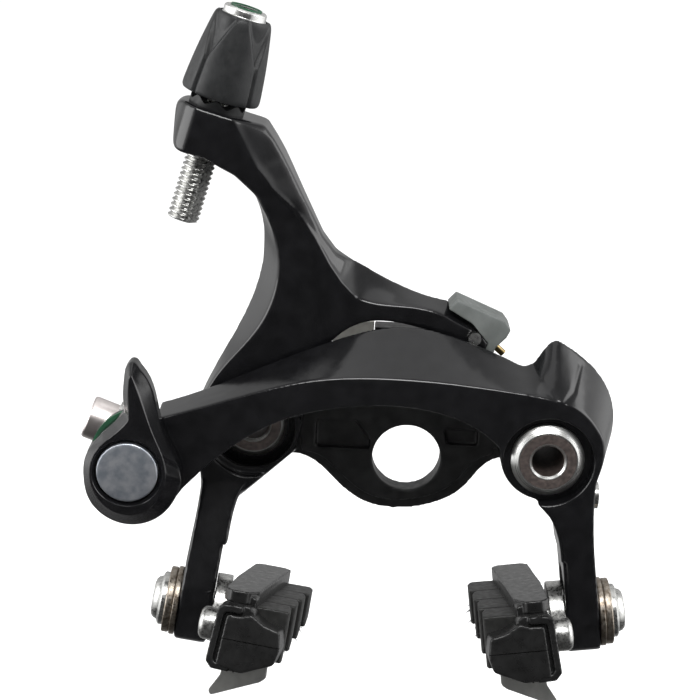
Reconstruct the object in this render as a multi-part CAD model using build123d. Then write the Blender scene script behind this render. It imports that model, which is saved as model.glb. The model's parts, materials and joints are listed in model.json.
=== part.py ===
from build123d import *
import os

# Direct-mount dual-pivot rim brake caliper. Millimetres, +X to the right as the rider
# in front of the bicycle sees it, +Y back into the frame, +Z up.
# The origin is midway between the two mounting holes on the rear mounting face.

# ---- driving dimensions ----
HOLE_SPACING = 56.0          # between the two frame bolts
BOLT_HOLE_R = 3.05           # clears an M6 bolt
FIT = 0.05                   # radial clearance of a running fit
GAP = 0.1                    # end float of a washer

SLEEVE_R = 5.35
BUSH_R = 6.6
RING_R = 6.9
RING_THICK = 2.4
RECESS_R = {"left": 8.1, "right": 8.5}   # the recess each ring sits in

BRACKET_FRONT = -5.0
ARM_BACK = -6.3              # rear end of both pivot bosses
REAR_ARM_FRONT = -16.2
REAR_BOSS_FRONT = -15.0
REAR_ARM_SEAT = -10.4        # floor of the left ring's recess
FRONT_ARM_FRONT = -28.0
FRONT_ARM_BACK = -17.5
FRONT_ARM_SEAT = -24.8       # floor of the right ring's recess

SHOE_Y = -19.0               # middle of both brake legs, front to back
SHOE_Z = -35.0
SHOE_RISE = {"left": -0.9, "right": 0.6}  # how high each shoe was clamped in its slot
SHOE_TRAVEL = 7.0            # how far up the slot lets it go
LEG_TILT = 8.0               # how far the open legs lean outwards
LEG_INNER_X = 34.5
LEG_OUTER_X = 41.0
OUTSIDE = LEG_INNER_X - LEG_OUTER_X
PAD_PITCH = {"left": 17.0, "right": 15.5}  # the front end of each shoe is turned up
PAD_TOE = {"left": 8.0, "right": 2.5}      # and its rear end in towards the wheel
WASHER_R = 6.7
HOLDER_FROM = 3.7            # outer face of the holder, from the leg's inner face
PAD_SCREW_AT = (-17.5, -0.9)

ADJUSTER_TILT = 15.3
ADJUSTER_AT = (-37.5, -15.0, 58.0)
STUD_R = 3.0
STUD_FOOT = -18.2
STUD_TOP = 17.2
BOSS_TOP = 4.0               # distances along the adjuster's axis
KNOB_FOOT = 6.2
KNOB_TOP = 21.4
HOUSING_R = 2.55             # cable housing socket
FERRULE_LENGTH = 5.6
CABLE_R = 1.0

LEVER_AT = (-49.8, -2.7)     # quick-release axis, x and z
ANCHOR_TILT = 20.0           # the cable anchor bolt's axis rises to the left
ANCHOR_AT = (-53.8, -16.6, -0.5)
ANCHOR_SLIDE = (0.25, 0.0, 0.968)
ANCHOR_TRAVEL = 2.5

ROLLER_AT = (9.5, 13.6)
ROLLER_R = 2.6
CENTRING_AT = (38.1, -13.5, -11.3)
SPRING_Y = -7.4
SPRING_R = 0.7
SPRING_PATH = [(-20, 11), (-12.5, 18.6), (1, 12.2), (15.5, 18.8), (20, 15)]
WINDOW_AT = (2.4, -8.35)     # round window in the bracket

PIVOT = {"left": -HOLE_SPACING / 2, "right": HOLE_SPACING / 2}


# ---- helpers ----
def facing(y):
    """A plane facing the front at depth y; its own axes are X and Z."""
    return Plane.XZ.offset(-y)


def outline(y, *runs):
    """Closed face at depth y from runs of (x, z) points: two are a line, more a curve."""
    edges = []
    for run in runs:
        points = [(x, y, z) for x, z in run]
        edges.append(Line(*points) if len(points) == 2 else Spline(*points))
    return Face(Wire(edges))


def slab(front, back, *runs):
    """The outline made solid from depth front to depth back."""
    return extrude(outline(back, *runs), amount=back - front, dir=(0, -1, 0))


def rod(x, z, radius, front, back):
    """Cylinder along Y."""
    return extrude(facing(back) * Pos(x, z) * Circle(radius), amount=back - front)


def tube(x, z, outer, inner, front, back):
    return rod(x, z, outer, front, back) - rod(x, z, inner, front - 1, back + 1)


def block(x0, x1, y0, y1, z0, z1):
    return Pos((x0 + x1) / 2, (y0 + y1) / 2, (z0 + z1) / 2) * Box(x1 - x0, y1 - y0, z1 - z0)


def hexagon_hole(across, depth):
    """Hexagon prism going down from z = 0."""
    return extrude(RegularPolygon(across / 2, 6, major_radius=False), amount=-depth)


def closed(points):
    """Runs of straight lines through the points and back to the first."""
    return [(a, b) for a, b in zip(points, points[1:] + points[:1])]


# ---- bracket and pivots (fixed to the bicycle) ----
def bracket_web(front, back, scale):
    """The plate between the pivots; scale draws its lower edge in towards the middle."""
    lower = [(-21, -9), (-16, -10.4), (-10.8, -15.1), (-4.8, -19), (1.1, -19.8), (8.4, -18.4),
             (14.2, -14.8), (18.2, -9.8), (22, -8)]
    lower = [(x * scale, z * scale) for x, z in lower]
    left_foot, right_foot = lower[0], lower[-1]
    upper = [(22, 7), (12, 9.5), (0, 10.5), (-12, 9.5), (-21, 7)]
    return slab(front, back, lower, [right_foot, upper[0]], upper, [upper[-1], left_foot])


def spring_wire(radius):
    points = [(x, SPRING_Y, z) for x, z in SPRING_PATH]
    path = FilletPolyline(*points, radius=3)
    section = Plane(origin=path @ 0, z_dir=path % 0) * Circle(radius)
    return sweep(section, path=path)


def mounting_bracket():
    body = bracket_web(-3, 0, 1.0) + bracket_web(BRACKET_FRONT, -3, 0.88)
    for x in PIVOT.values():
        body += rod(x, 0, 9.5, BRACKET_FRONT, 0)
    body += block(-5.2, 5, SPRING_Y - 1.4, -4, 8.5, 19.5)
    body -= spring_wire(SPRING_R + FIT)
    body -= rod(*WINDOW_AT, 6.8, -9, 1)
    for pocket in ([(-15.8, -1), (-8, -1), (-5, -5), (-5, -6.8), (-15.8, -6.8)],
                   [(9.6, -2), (16.4, -2), (16.4, -5.2), (10.3, -5.2)]):
        body -= slab(-6, -3.6, *closed(pocket))
    for x in PIVOT.values():
        body -= rod(x, 0, SLEEVE_R, -9, 1)
    return body


def pivot_sleeve(side, front):
    sleeve = tube(PIVOT[side], 0, SLEEVE_R, BOLT_HOLE_R, front, 0)
    rims = sleeve.edges().filter_by(GeomType.CIRCLE).sort_by(Axis.Y)[:2]
    return chamfer([rim for rim in rims if rim.radius < SLEEVE_R - 1], 0.45)


def sleeve_ring(side, back):
    x = PIVOT[side]
    ring = tube(x, 0, RING_R, SLEEVE_R, back - RING_THICK, back)
    rim = ring.edges().filter_by(GeomType.CIRCLE).sort_by(Axis.Y)
    front_rims = [edge for edge in rim if edge.center().Y < back - 1 and edge.radius > SLEEVE_R + 0.1]
    return chamfer(front_rims, 0.8)


def thrust_washer(side):
    return tube(PIVOT[side], 0, 9.0, SLEEVE_R + FIT, ARM_BACK + GAP, BRACKET_FRONT - GAP)


def spring_sleeve():
    """Nylon guide round the left shoulder of the return spring."""
    guide = [(-13.4, 16.4), (-12, 20), (-5.4, 20.6), (-5.4, 13.4), (-7.6, 13.6)]
    return slab(SPRING_Y - 1.2, SPRING_Y + 1.2, *closed(guide)) - spring_wire(SPRING_R + FIT)


# ---- front arm ----
def front_arm_shell():
    """Curved bar: its top face slopes from the front edge up to the rear edge."""
    arch = [(18.7, 2.4), (13.5, 6.3), (2.9, 9.4), (-11.4, 8.9), (-22.4, 5.8), (-32, -0.3), (-40.5, -8.7)]
    left_end = [(-40.5, -8.7), (-48, -13), (-57.6, -9), (-57.4, 0), (-46, 5.2)]
    inner = [(29.5, -11.5), (25, -6.9), (20.3, -1.4), (18.7, 2.4)]
    front = outline(
        FRONT_ARM_FRONT,
        [(-46, 5.2), (-28, 11), (-16, 14.1), (-3, 14.9), (10, 14.4), (23, 13.2)],
        [(23, 13.2), (29, 12)],
        [(29, 12), (33.5, 10), (36.8, 6.6)],
        [(36.8, 6.6), (38.2, 3.6), (38.2, 0.5), (36.6, -6)],
        [(36.6, -6), (29.5, -11.5)],
        inner, arch, left_end,
    )
    back = outline(
        FRONT_ARM_BACK,
        [(-46, 5.2), (-28.7, 12.3), (-13.8, 19), (0.8, 22.6), (10.5, 20.8), (22.4, 16)],
        [(22.4, 16), (24.2, 16.2), (26.2, 18.7), (29.2, 21.4)],
        [(29.2, 21.4), (33.3, 18.9), (37, 15.7), (40.5, 9.6)],
        [(40.5, 9.6), (41.1, 6), (40, -1.1), (37.9, -9.2)],
        [(37.9, -9.2), (29.5, -11.5)],
        inner, arch, left_end,
    )
    return loft([front, back], ruled=True)


def leg_side_profile(x0, x1, top):
    """A leg as its side shows it, solid from x0 to x1; it narrows down to the shoe slot."""
    front, back = top
    points = [(front, 4), (front, -10), (SHOE_Y - 6.5, -30), (SHOE_Y - 5.6, -46),
              (SHOE_Y + 5.6, -46), (SHOE_Y + 5.6, -28), (back, -12), (back, 4)]
    face = make_face(Polyline(*[(x0, y, z) for y, z in points], close=True))
    return extrude(face, amount=x1 - x0, dir=(1, 0, 0))


def on_shoe(side, shape):
    """Puts a shape from the shoe's frame on its leg. That frame has X towards the wheel,
    Y back, Z up the leg and its origin on the leg's inner face, on the shoe bolt's axis."""
    shoe = Pos(-LEG_INNER_X, SHOE_Y, SHOE_Z) * Rot(0, LEG_TILT, 0) * Pos(0, 0, SHOE_RISE[side])
    placed = shoe * shape
    return placed if side == "left" else mirror(placed, about=Plane.YZ)


def leg_foot(side, leg):
    """The leg with its slotted foot, whose two faces are square to the shoe bolt."""
    foot = block(OUTSIDE, 0, -5.6, 5.6, -7.1, 6)
    foot = fillet(foot.edges().filter_by(Axis.X).sort_by(Axis.Z)[:2], 4.5)
    slot = Plane.YZ * Pos(0, SHOE_TRAVEL / 2) * Rot(0, 0, 90) * SlotCenterToCenter(
        SHOE_TRAVEL + 0.2, 2 * (STUD_R + 0.08))
    washer_room = SHOE_TRAVEL + WASHER_R + 0.3
    leg -= on_shoe(side, block(0, 8, -14, 14, -12, washer_room))
    leg -= on_shoe(side, block(OUTSIDE - 8, OUTSIDE, -14, 14, -12, washer_room))
    leg += on_shoe(side, foot)
    return leg - on_shoe(side, extrude(slot, amount=20, both=True))


def front_arm():
    x = PIVOT["right"]
    arm = front_arm_shell()
    arm += rod(x, 0, 8.7, FRONT_ARM_SEAT, ARM_BACK)
    leg = slab(-30, -5,
               [(37.5, 0), (37.6, -12.5), (39.2, -24), (40.9, -34)],
               [(40.9, -34), (34.3, -34)],
               [(34.3, -34), (32.6, -24.6), (31.2, -16), (24, -6)],
               [(24, -6), (37.5, 0)])
    arm += leg_foot("right", leg & leg_side_profile(18, 46, (FRONT_ARM_FRONT, -10)))
    arm -= rod(x, 0, RECESS_R["right"], FRONT_ARM_FRONT - 1, FRONT_ARM_SEAT)
    arm -= rod(x, 0, BUSH_R, -30, 0)
    arm -= block(-62, -45.4, -22.4, 0, -16, 8)
    arm -= rod(LEVER_AT[0], LEVER_AT[1], 3 + FIT, -30, 0)
    arm -= rod(ROLLER_AT[0], ROLLER_AT[1], 1.5, -22, 0)
    arm -= centring_screw_hole()
    return arm


def pivot_bush(side, front):
    return tube(PIVOT[side], 0, BUSH_R, SLEEVE_R + FIT, front, ARM_BACK)


def roller_pin():
    pin = rod(*ROLLER_AT, 1.5, -22, -9.2)
    return pin + rod(*ROLLER_AT, 2.1, -9.2, -8.6)


def sync_roller():
    return tube(*ROLLER_AT, ROLLER_R, 1.5 + FIT, -16, -9.4)


# ---- centring screw, on the outside of the front arm ----
def centring_screw_hole():
    return Pos(*CENTRING_AT) * Rot(0, 90, 0) * Cylinder(1.5 + FIT, 16)


def centring_screw():
    shank = Pos(CENTRING_AT[0] - 3, *CENTRING_AT[1:]) * Rot(0, 90, 0) * Cylinder(1.5, 9)
    head = Pos(CENTRING_AT[0] + 0.95, *CENTRING_AT[1:]) * Rot(0, 90, 0) * Cylinder(2.6, 1.5)
    socket = Pos(CENTRING_AT[0] + 1.8, *CENTRING_AT[1:]) * Rot(0, 90, 0) * hexagon_hole(2, 1.4)
    return shank + head - socket


# ---- quick release and cable anchor, on the left end of the front arm ----
def lever_plate(front, back, outer, flat):
    """Solid between the lever's outline at its widest and the smaller flat on its front."""
    rim = [[(x + LEVER_AT[0], z + LEVER_AT[1]) for x, z in run] for run in outer]
    top = [[(x + LEVER_AT[0], z + LEVER_AT[1]) for x, z in run] for run in flat]
    base = slab(front + 3.3, back, *rim)
    return base + loft([outline(front + 3.3, *rim), outline(front, *top)], ruled=True)


def release_lever():
    """Teardrop with a pointed finger at the top; its front edges slope in to a flat."""
    outer = [
        [(-0.9, 18.9), (-1.2, 15.8), (-1.1, 11.8), (-0.1, 8.2)],
        [(-0.1, 8.2), (-5, 5.1), (-7.6, 2.7), (-8.4, -2), (-7.2, -7), (-3.8, -10.3), (0.8, -11.4),
         (5.6, -9.7), (9, -5.1), (9.7, -2.1), (7.7, 3.6), (5.6, 8.9), (4.1, 15.1), (1.8, 19)],
        [(1.8, 19), (0.5, 20.3), (-0.9, 18.9)],
    ]
    flat = [
        [(0.1, 18), (0, 15.6), (0.1, 13), (0.2, 10.3)],
        [(0.2, 10.3), (-1.4, 8.2), (-4.4, 5.6), (-6.4, 2.7), (-6.5, -2.3), (-3.8, -6.6), (0.3, -8.1),
         (4.3, -6.5), (6.8, -2.3), (6.5, 3.2), (4.8, 7.3), (3, 12.1), (0.9, 18)],
        [(0.9, 18), (0.5, 18.6), (0.1, 18)],
    ]
    x, z = LEVER_AT
    lever = lever_plate(-35.8, -29, outer, flat)
    lever -= rod(x, z, 5.75, -37, -34.6)
    return lever - rod(x, z, 2.5, -36, -28)


def release_spacer():
    """Green nylon plate between the lever and the arm, cut off straight on the right."""
    x, z = LEVER_AT
    plate = rod(x + 1.5, z + 1, 9, -28.9, -28.1) & block(x - 9, x + 2.6, -29, -28, z - 8, z + 14)
    return plate - rod(x, z, 3 + FIT, -30, -27)


def release_cap():
    x, z = LEVER_AT
    disc = rod(x, z, 5.65, -35.9, -34.6)
    return fillet(disc.edges().filter_by(GeomType.CIRCLE).sort_by(Axis.Y)[0], 0.6)


def release_shaft():
    x, z = LEVER_AT
    return rod(x, z, 3, -28.9, -19.4) + rod(x, z, 2.5, -34.6, -28.8)


def anchor_frame(along):
    """Frame on the anchor bolt's axis, Z pointing to its head."""
    axis = Vector(-1, 0, 0).rotate(Axis.Y, ANCHOR_TILT)
    origin = Vector(*ANCHOR_AT) + axis * along
    return Plane(origin=origin, x_dir=(0, 1, 0), z_dir=axis)


def anchor_block():
    """Block behind the lever that the shaft moves; the bolt clamps the cable against it."""
    x, z = LEVER_AT
    body = anchor_frame(0) * Pos(0, 0, -4.5) * Box(9.4, 9.6, 9)
    middle = Pos(x - ANCHOR_SLIDE[0] * ANCHOR_TRAVEL / 2, z - ANCHOR_SLIDE[2] * ANCHOR_TRAVEL / 2)
    slot = facing(-19.3) * middle * Rot(0, 0, 75.5) * SlotCenterToCenter(ANCHOR_TRAVEL + 0.2, 6.2)
    body -= extrude(slot, amount=4)
    body &= block(-62, -46.3, -22.1, -10, -20, 20)
    groove = anchor_frame(0) * Pos(2.2, 0, 0) * Rot(90, 0, 0) * Cylinder(0.9, 20)
    return body - groove - anchor_frame(0) * Pos(0, 0, -4) * Cylinder(2.5, 8)


def anchor_washer():
    ring = Cylinder(4.9, 1.0) - Cylinder(2.5, 3)
    return anchor_frame(0.5 + 0.02) * ring


def cable_anchor_bolt():
    head = Pos(0, 0, 2.5) * Cylinder(4.15, 5)
    head = chamfer(head.edges().filter_by(GeomType.CIRCLE).sort_by(Axis.Z)[-1], 0.6)
    bolt = head + Pos(0, 0, -3.8) * Cylinder(2.5, 7.6) - Pos(0, 0, 5) * hexagon_hole(4, 3)
    return anchor_frame(1.04) * bolt


# ---- rear arm ----
def adjuster_frame(along):
    """Frame on the adjuster's axis, Z pointing up out of the knob."""
    axis = Vector(0, 0, 1).rotate(Axis.Y, ADJUSTER_TILT)
    origin = Vector(*ADJUSTER_AT) + axis * along
    return Plane(origin=origin, x_dir=(0, 1, 0), z_dir=axis)


def rear_arm_shell():
    """Curved upright with a branch to the right; its edges slope from back to front."""
    front = outline(
        REAR_ARM_FRONT,
        [(-30.2, 51.4), (-22.1, 44.6), (-14, 32.1), (-9.6, 27.3), (0.1, 25.9), (9.3, 23.4)],
        [(9.3, 23.4), (17.5, 19.5)],
        [(17.5, 19.5), (15.2, 12.4)],
        [(15.2, 12.4), (8.4, 20.2)],
        [(8.4, 20.2), (0, 22.3), (-7.6, 22.2), (-13, 18.7), (-17, 11), (-18.4, 2)],
        [(-18.4, 2), (-19.8, -4)],
        [(-19.8, -4), (-31.5, -14.8)],
        [(-31.5, -14.8), (-37.4, -14.8)],
        [(-37.4, -14.8), (-38.5, 0)],
        [(-38.5, 0), (-33.5, 13), (-27.4, 20.6), (-24.1, 31.6), (-26, 41), (-31.5, 48.6)],
        [(-31.5, 48.6), (-30.2, 51.4)],
    )
    back = outline(
        -9.0,
        [(-29.5, 57), (-21.6, 48.9), (-14.2, 35.3), (-9.9, 33), (0.1, 28.1), (9.4, 25.7)],
        [(9.4, 25.7), (19.4, 20.6)],
        [(19.4, 20.6), (15.2, 12.4)],
        [(15.2, 12.4), (8.4, 20.2)],
        [(8.4, 20.2), (0, 22.3), (-7.6, 22.2), (-13, 18.7), (-17, 11), (-18, 2)],
        [(-18, 2), (-19, -5.6)],
        [(-19, -5.6), (-29.5, -15.6)],
        [(-29.5, -15.6), (-37.4, -15.6)],
        [(-37.4, -15.6), (-40, 0)],
        [(-40, 0), (-34, 14.5), (-29.3, 24.8), (-27.3, 35), (-28.6, 43), (-35, 51)],
        [(-35, 51), (-29.5, 57)],
    )
    return loft([front, back], ruled=True)


def adjuster_boss():
    """Rounded block around the adjuster; its right side slopes back into the arm below it."""
    outer = [(-44.1, 54.6), (-43.9, 63.88), (-26.9, 59.23), (-24, 54.5), (-16.6, 39.6), (-25.6, 39.6),
             (-28.6, 46.2), (-32.6, 50.2), (-38, 53.2)]
    solid = slab(-21.5, -9, *closed(outer))
    solid = fillet(solid.edges().filter_by(Axis.Y).sort_by(Axis.X)[:2], 1.6)
    beyond = [(-20, 70), (-10, 70), (-10, 38)]
    cut_front = [*beyond, (-25.6, 38), (-25.6, 46), (-27, 49.8), (-30.6, 56), (-33, 60.9)]
    cut_back = [*beyond, (-15.8, 38), (-16.6, 39.7), (-20, 46.5), (-24, 54.6), (-26.9, 59.3)]
    solid -= loft([outline(-21.6, *closed(cut_front)), outline(-9, *closed(cut_back))], ruled=True)
    side = [(-21.5, 70), (-21.5, 52), (REAR_ARM_FRONT, 41), (REAR_ARM_FRONT, 38), (-8, 38), (-8, 70)]
    profile = make_face(Polyline(*[(-50, y, z) for y, z in side], close=True))
    plan = rod_about_adjuster(7.2, -20, 20) + block(-37.5, -10, -21.5, -8.5, 38, 70)
    return solid & extrude(profile, amount=40, dir=(1, 0, 0)) & plan


def rod_about_adjuster(radius, start, end):
    return adjuster_frame(start) * extrude(Circle(radius), amount=end - start)


def cap_outline():
    return [(8.4, 25.6), (10, 27.4), (19.2, 23.6), (20.4, 22), (16.4, 13.4), (15.2, 12.6), (14.6, 14.4),
            (16.2, 19.2), (13.1, 22.9)]


def slide_cap():
    below = [(20.6, 21.4), (17.7, 18.4), (16.4, 13.3), (22, 13.3)]
    return slab(-15.8, -8.6, *closed(cap_outline())) - slab(-16, -8, *closed(below))


def cap_pin():
    return rod(13.6, 20.2, 1.2, -16.9, -9)


def rear_arm():
    x = PIVOT["left"]
    arm = rear_arm_shell() + adjuster_boss()
    arm += rod(x, 0, 8.8, REAR_BOSS_FRONT, ARM_BACK)
    leg = slab(-30, -5,
               [(-38, 0), (-38.2, -16.4), (-39.8, -25.8), (-40.9, -34)],
               [(-40.9, -34), (-34.3, -34)],
               [(-34.3, -34), (-32.2, -24.6), (-30, -13), (-24, -6)],
               [(-24, -6), (-38, 0)])
    arm += leg_foot("left", leg & leg_side_profile(-46, -18, (REAR_ARM_FRONT, ARM_BACK)))
    arm -= rod(x, 0, 9.6, -20, REAR_BOSS_FRONT)
    arm -= rod(x, 0, RECESS_R["left"], -20, REAR_ARM_SEAT)
    arm -= rod(x, 0, BUSH_R, -20, 0)
    arm -= adjuster_frame(-12) * extrude(Circle(STUD_R + 0.3), amount=24)
    arm -= slab(-17, -8, *closed(cap_outline()))
    return arm - rod(13.6, 20.2, 1.2, -20, 0)


def detent_ring():
    """Ring of bumps that the knob clicks over."""
    ring = Circle(5.2) - Circle(STUD_R + 0.5)
    teeth = Sketch() + PolarLocations(4.5, 8) * Circle(0.9)
    return adjuster_frame(BOSS_TOP) * (extrude(ring, amount=1.0) + extrude(teeth, amount=1.9))


# ---- cable adjuster ----
def adjuster_knob():
    skirt = adjuster_frame(KNOB_FOOT) * extrude(Circle(7.3), amount=2.2, taper=3)
    cover = adjuster_frame(KNOB_FOOT + 1) * extrude(Circle(7.0), amount=KNOB_TOP - KNOB_FOOT - 1, taper=7.5)
    knob = skirt + cover
    for k in range(4):
        scoop = Rot(0, 0, 90 * k) * Pos(8.6, 0, 12.5) * Rot(0, -7.5, 0) * Cylinder(3.2, 13)
        knob -= adjuster_frame(KNOB_FOOT) * scoop
    knob -= adjuster_frame(KNOB_FOOT - 1) * extrude(Circle(4.5), amount=7)
    knob -= adjuster_frame(KNOB_FOOT - 1) * extrude(Circle(STUD_R + 0.3), amount=20)
    return knob - adjuster_frame(KNOB_TOP - 4.2) * extrude(Circle(4.4), amount=6)


def adjuster_nut():
    return adjuster_frame(KNOB_FOOT) * (extrude(Circle(4.5), amount=6) - extrude(Circle(STUD_R + FIT), amount=6))


def adjuster_stud():
    """Threaded stud; the thread is shown as plain rings and the keyway as a flat."""
    stud = adjuster_frame(STUD_FOOT) * extrude(Circle(STUD_R), amount=STUD_TOP - STUD_FOOT)
    keyway = adjuster_frame(STUD_FOOT - 1) * Pos(3.3, 0, 8) * Box(1.6, 1.6, 20)
    return stud - keyway - adjuster_frame(STUD_FOOT - 1) * extrude(Circle(CABLE_R), amount=60)


def housing_ferrule():
    cup = extrude(Circle(4.2), amount=FERRULE_LENGTH) - Pos(0, 0, 1.4) * extrude(Circle(HOUSING_R), amount=8)
    cup -= Pos(0, 0, -1) * extrude(Circle(CABLE_R), amount=5)
    return adjuster_frame(STUD_TOP) * cup


def ferrule_seal():
    ring = Circle(HOUSING_R + 0.35) - Circle(HOUSING_R)
    return adjuster_frame(STUD_TOP + FERRULE_LENGTH) * extrude(ring, amount=0.3)


# ---- brake shoes, in the frame that on_shoe describes ----
def pad_turn(side):
    return Rot(-PAD_PITCH[side], 0, 0) * Rot(0, 0, -PAD_TOE[side])


def across(radius, start, end):
    """Cylinder along the shoe's X axis."""
    return extrude(Plane.YZ.offset(start) * Circle(radius), amount=end - start)


def inner_washer():
    return across(WASHER_R, 0.05, 3.15) - across(STUD_R, -1, 5)


def outer_washers():
    flat = across(WASHER_R, OUTSIDE - 1.1, OUTSIDE - 0.05)
    cupped = across(WASHER_R - 0.2, OUTSIDE - 2.6, OUTSIDE - 1.1)
    bore = across(STUD_R, -20, 0)
    return [flat - bore, cupped - bore]


def shoe_bolt():
    shank = across(STUD_R, OUTSIDE - 2.6, HOLDER_FROM + 1.8)
    flange = across(5.2, OUTSIDE - 3.8, OUTSIDE - 2.6)
    head = across(4.1, OUTSIDE - 5.2, OUTSIDE - 3.7)
    socket = Pos(OUTSIDE - 5.2, 0, 0) * Rot(0, -90, 0) * hexagon_hole(4, 2.4)
    return shank + flange + head - socket


def shoe_holder():
    shell = block(0, 8.2, -26, 28, -7.4, 5.2) + block(0, 6.9, -19, 28, 5, 6.5)
    shell -= block(2.4, 9, -24, 26.5, -5, 4.2)
    return shell - across(STUD_R + 0.7, -1, 3) - Pos(0, *PAD_SCREW_AT) * across(1.5, -1, 2.4)


def brake_pad():
    """Rubber block, deepest at the front end, with three grooves across its upper edge."""
    side = [(-23.9, 4.1), (26.4, 4.1), (26.4, -1.2), (-23.9, -4.6)]
    pad = extrude(make_face(Polyline(*[(2.45, y, z) for y, z in side], close=True)), amount=11.1, dir=(1, 0, 0))
    for y in (-11.5, 1, 13.5):
        pad -= Pos(10, y, 2) * Rot(0, 0, 16) * Box(9, 1.1, 6)
    return pad


def pad_screw():
    head = across(3.1, -2.4, 0) + across(1.5, -0.5, 2.3)
    head -= Pos(-2.4, 0, 0) * Rot(0, -90, 0) * hexagon_hole(2, 1)
    return Pos(0, *PAD_SCREW_AT) * head


def wheel_guide():
    """Grey fin below the shoe that leads the tyre in between the pads."""
    corners = [(2.9, -7.4), (7.9, -7.4), (10.9, -8.1), (9.9, -9), (1.9, -13.5), (1.3, -12.8), (2.9, -9.6)]
    face = make_face(Polyline(*[(x, -21, z) for x, z in corners], close=True))
    return extrude(face, amount=2, dir=(0, 1, 0))


# ---- write every part ----
def shoe_parts(side):
    turned = Pos(HOLDER_FROM, 0, 0) * pad_turn(side)
    washer_seat = across(WASHER_R + 0.3, 0, 3.2)
    return {
        f"{side}_inner_washer": on_shoe(side, inner_washer()),
        f"{side}_outer_washers": Compound([on_shoe(side, washer) for washer in outer_washers()]),
        f"{side}_shoe_bolt": on_shoe(side, shoe_bolt()),
        f"{side}_shoe_holder": on_shoe(side, turned * shoe_holder() - washer_seat),
        f"{side}_brake_pad": on_shoe(side, turned * brake_pad()),
        f"{side}_pad_screw": on_shoe(side, turned * pad_screw()),
        f"{side}_wheel_guide": on_shoe(side, turned * wheel_guide()),
    }


def all_parts():
    parts = {
        "mounting_bracket": mounting_bracket(),
        "left_pivot_sleeve": pivot_sleeve("left", REAR_ARM_SEAT - GAP - RING_THICK - 0.1),
        "right_pivot_sleeve": pivot_sleeve("right", FRONT_ARM_SEAT - GAP - RING_THICK - 0.1),
        "left_sleeve_ring": sleeve_ring("left", REAR_ARM_SEAT - GAP),
        "right_sleeve_ring": sleeve_ring("right", FRONT_ARM_SEAT - GAP),
        "left_thrust_washer": thrust_washer("left"),
        "right_thrust_washer": thrust_washer("right"),
        "return_spring": spring_wire(SPRING_R),
        "spring_sleeve": spring_sleeve(),
        "front_arm": front_arm(),
        "right_pivot_bush": pivot_bush("right", FRONT_ARM_SEAT),
        "roller_pin": roller_pin(),
        "sync_roller": sync_roller(),
        "centring_screw": centring_screw(),
        "release_spacer": release_spacer(),
        "release_lever": release_lever(),
        "release_cap": release_cap(),
        "release_shaft": release_shaft(),
        "anchor_block": anchor_block(),
        "anchor_washer": anchor_washer(),
        "cable_anchor_bolt": cable_anchor_bolt(),
        "rear_arm": rear_arm(),
        "left_pivot_bush": pivot_bush("left", REAR_ARM_SEAT),
        "slide_cap": slide_cap(),
        "cap_pin": cap_pin(),
        "detent_ring": detent_ring(),
        "adjuster_knob": adjuster_knob(),
        "adjuster_nut": adjuster_nut(),
        "adjuster_stud": adjuster_stud(),
        "housing_ferrule": housing_ferrule(),
        "ferrule_seal": ferrule_seal(),
    }
    for side in ("left", "right"):
        parts.update(shoe_parts(side))
    return parts


os.makedirs("parts", exist_ok=True)
for name, shape in all_parts().items():
    export_step(shape, f"parts/{name}.step")
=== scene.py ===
import json
import math
import random

import bmesh
import bpy
import numpy as np
from mathutils import Matrix, Vector


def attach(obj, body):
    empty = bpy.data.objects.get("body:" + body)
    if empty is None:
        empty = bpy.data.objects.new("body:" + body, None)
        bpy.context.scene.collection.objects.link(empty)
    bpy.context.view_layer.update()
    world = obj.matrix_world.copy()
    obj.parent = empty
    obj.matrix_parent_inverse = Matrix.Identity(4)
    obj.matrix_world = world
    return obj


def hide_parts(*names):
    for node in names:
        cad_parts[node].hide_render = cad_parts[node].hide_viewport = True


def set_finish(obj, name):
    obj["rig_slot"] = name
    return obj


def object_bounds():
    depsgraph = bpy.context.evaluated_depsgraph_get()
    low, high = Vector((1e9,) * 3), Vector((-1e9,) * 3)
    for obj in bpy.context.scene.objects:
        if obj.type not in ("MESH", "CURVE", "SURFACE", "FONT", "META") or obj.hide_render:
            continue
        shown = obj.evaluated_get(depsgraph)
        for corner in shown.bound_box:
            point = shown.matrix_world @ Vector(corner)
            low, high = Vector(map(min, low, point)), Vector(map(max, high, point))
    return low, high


# Rim brake caliper. Lengths are millimetres until a mesh is made, and MM turns them into metres.
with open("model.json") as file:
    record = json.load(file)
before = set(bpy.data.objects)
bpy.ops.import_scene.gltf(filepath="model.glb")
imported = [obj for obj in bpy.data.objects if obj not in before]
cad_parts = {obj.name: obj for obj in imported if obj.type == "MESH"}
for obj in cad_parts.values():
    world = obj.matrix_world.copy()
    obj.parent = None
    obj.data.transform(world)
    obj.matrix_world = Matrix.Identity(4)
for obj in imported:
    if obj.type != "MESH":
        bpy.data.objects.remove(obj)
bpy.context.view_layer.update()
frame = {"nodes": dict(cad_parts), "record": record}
NODES = frame["nodes"]
RECORD = frame["record"]
BODY = {node: body for body, nodes in RECORD["behaviour"]["bodies"].items() for node in nodes}
SLOT = {part["node"]: part["material_slot"] for part in RECORD["subparts"]}
MM = 0.001
SIDES = ("left", "right")
WHISKER_SEED = {"left": 7, "right": 11}

# ---- how fine the meshes are: voxels of the softened pieces, and points round a turned one ----
FORGED_VOXEL = 0.3
BLOCK_VOXEL = 0.25
MOULDED_VOXEL = 0.22
LEVER_VOXEL = 0.2
LOBE_VOXEL = 0.2
FINE_VOXEL = 0.15
ROUND_STEPS = 96
FINE_STEPS = 128

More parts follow.
